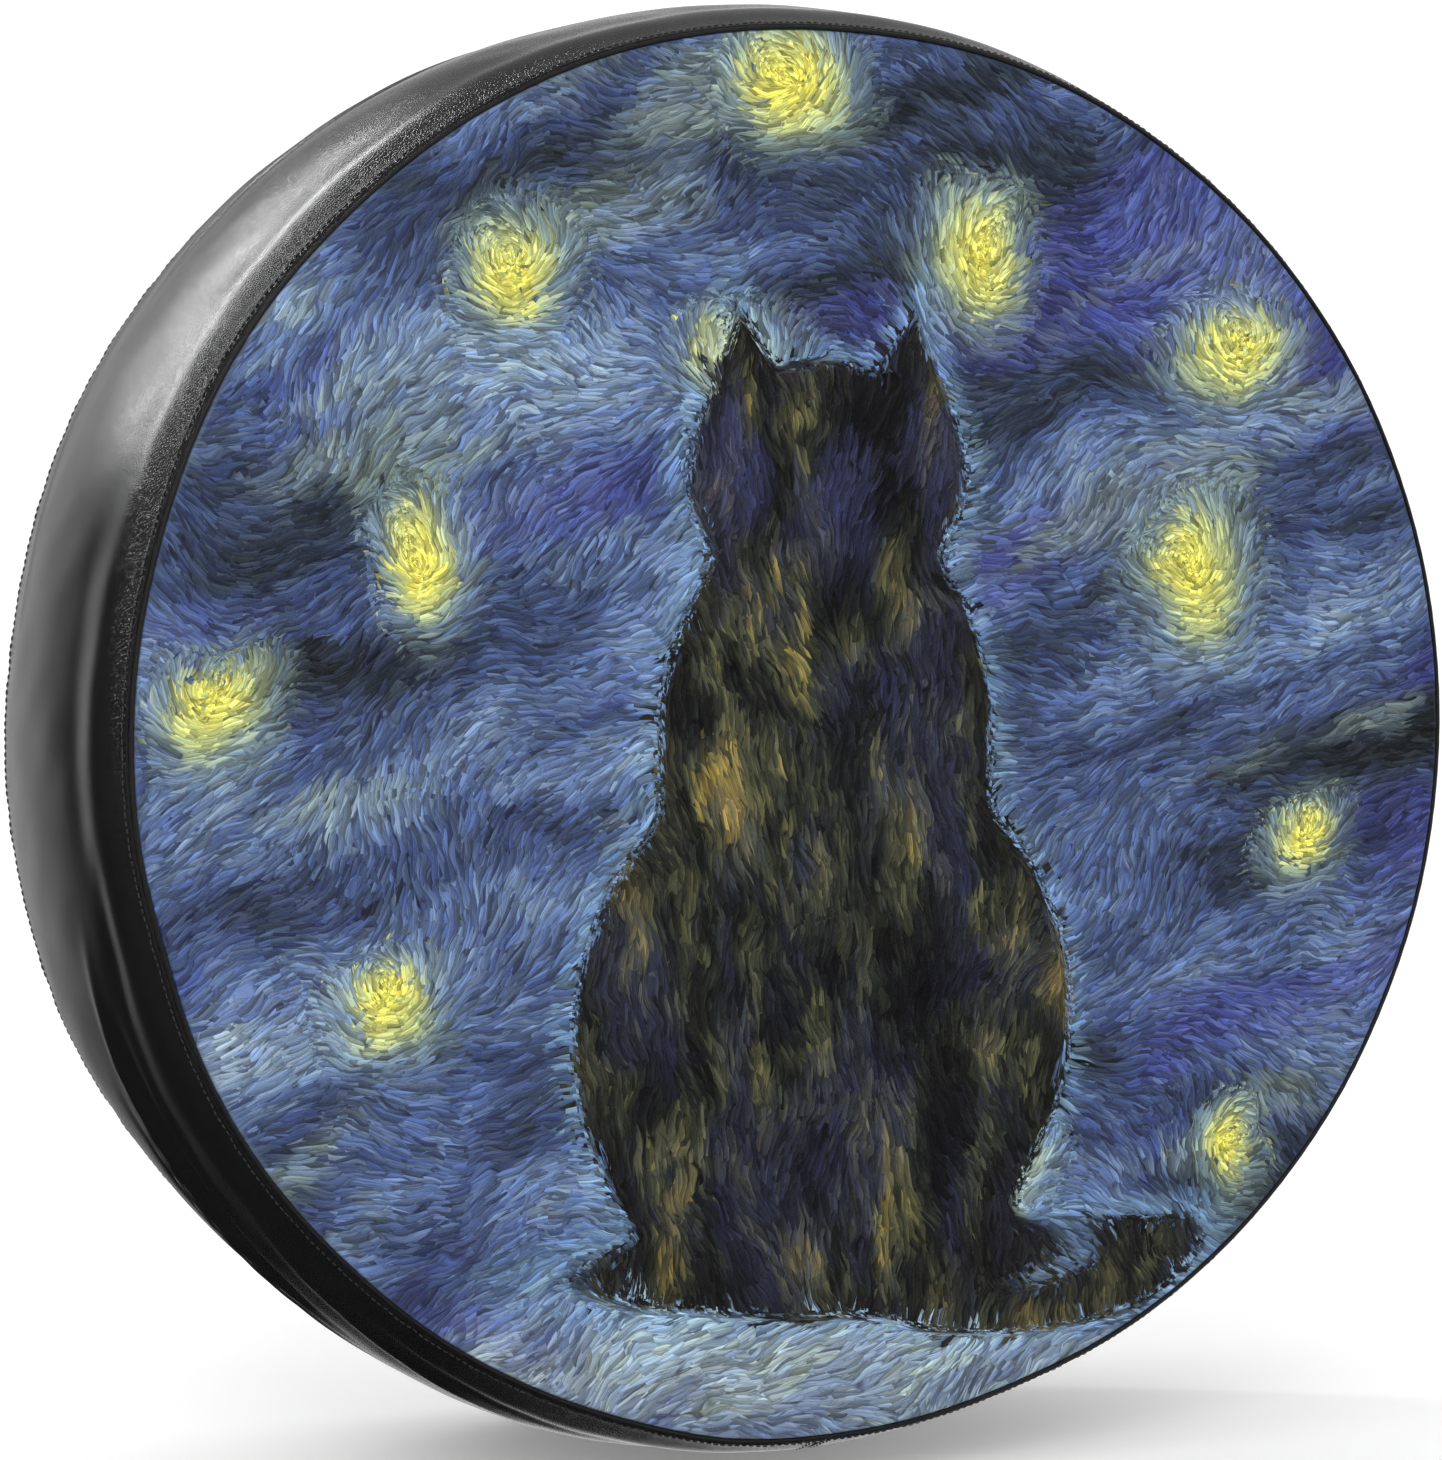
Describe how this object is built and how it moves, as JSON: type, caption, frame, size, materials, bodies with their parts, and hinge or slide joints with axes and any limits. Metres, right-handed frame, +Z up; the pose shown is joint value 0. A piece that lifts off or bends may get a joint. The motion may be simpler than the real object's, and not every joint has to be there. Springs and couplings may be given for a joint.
{
  "type": "spare tire cover",
  "caption": "Round soft cover for a spare wheel: flat front panel, piped seam, side band and elastic rear mouth with tie eyelets.",
  "frame": {"origin": "centre of the cover's bounding box, on the wheel's axle", "axes": "+Y along the wheel's axle, out of the elastic mouth towards the vehicle; the front panel faces -Y; +Z up"},
  "size_m": [0.7458, 0.24, 0.7464],
  "materials": {
    "panel": "printed imitation leather, satin",
    "band_leather": "black pebble-grained imitation leather, satin",
    "piping": "black smooth imitation leather, satin",
    "cord": "twisted cotton cord",
    "tape": "woven polyester tape",
    "elastic": "knitted elastic",
    "thread": "bonded polyester thread",
    "metal": "nickel-plated"
  },
  "bodies": {
    "root": {"front_panel": "panel", "piping_sleeve": "piping", "piping_cord": "cord", "side_band": "band_leather", "band_seam_tape": "tape", "rear_skirt": "band_leather", "skirt_seam_tape": "tape", "hem_casing": "band_leather", "hem_elastic": "elastic", "elastic_lap_thread": "thread", "front_seam_thread": "thread", "front_topstitch_thread": "thread", "band_seam_thread": "thread", "rear_seam_thread": "thread", "skirt_seam_thread": "thread", "hem_thread": "thread", "grommet_patch_thread": "thread", "grommet_eyelet_1": "metal", "grommet_washer_1": "metal", "grommet_patch_1": "band_leather", "grommet_eyelet_2": "metal", "grommet_washer_2": "metal", "grommet_patch_2": "band_leather", "grommet_eyelet_3": "metal", "grommet_washer_3": "metal", "grommet_patch_3": "band_leather", "grommet_eyelet_4": "metal", "grommet_washer_4": "metal", "grommet_patch_4": "band_leather"}
  },
  "joints": []
}
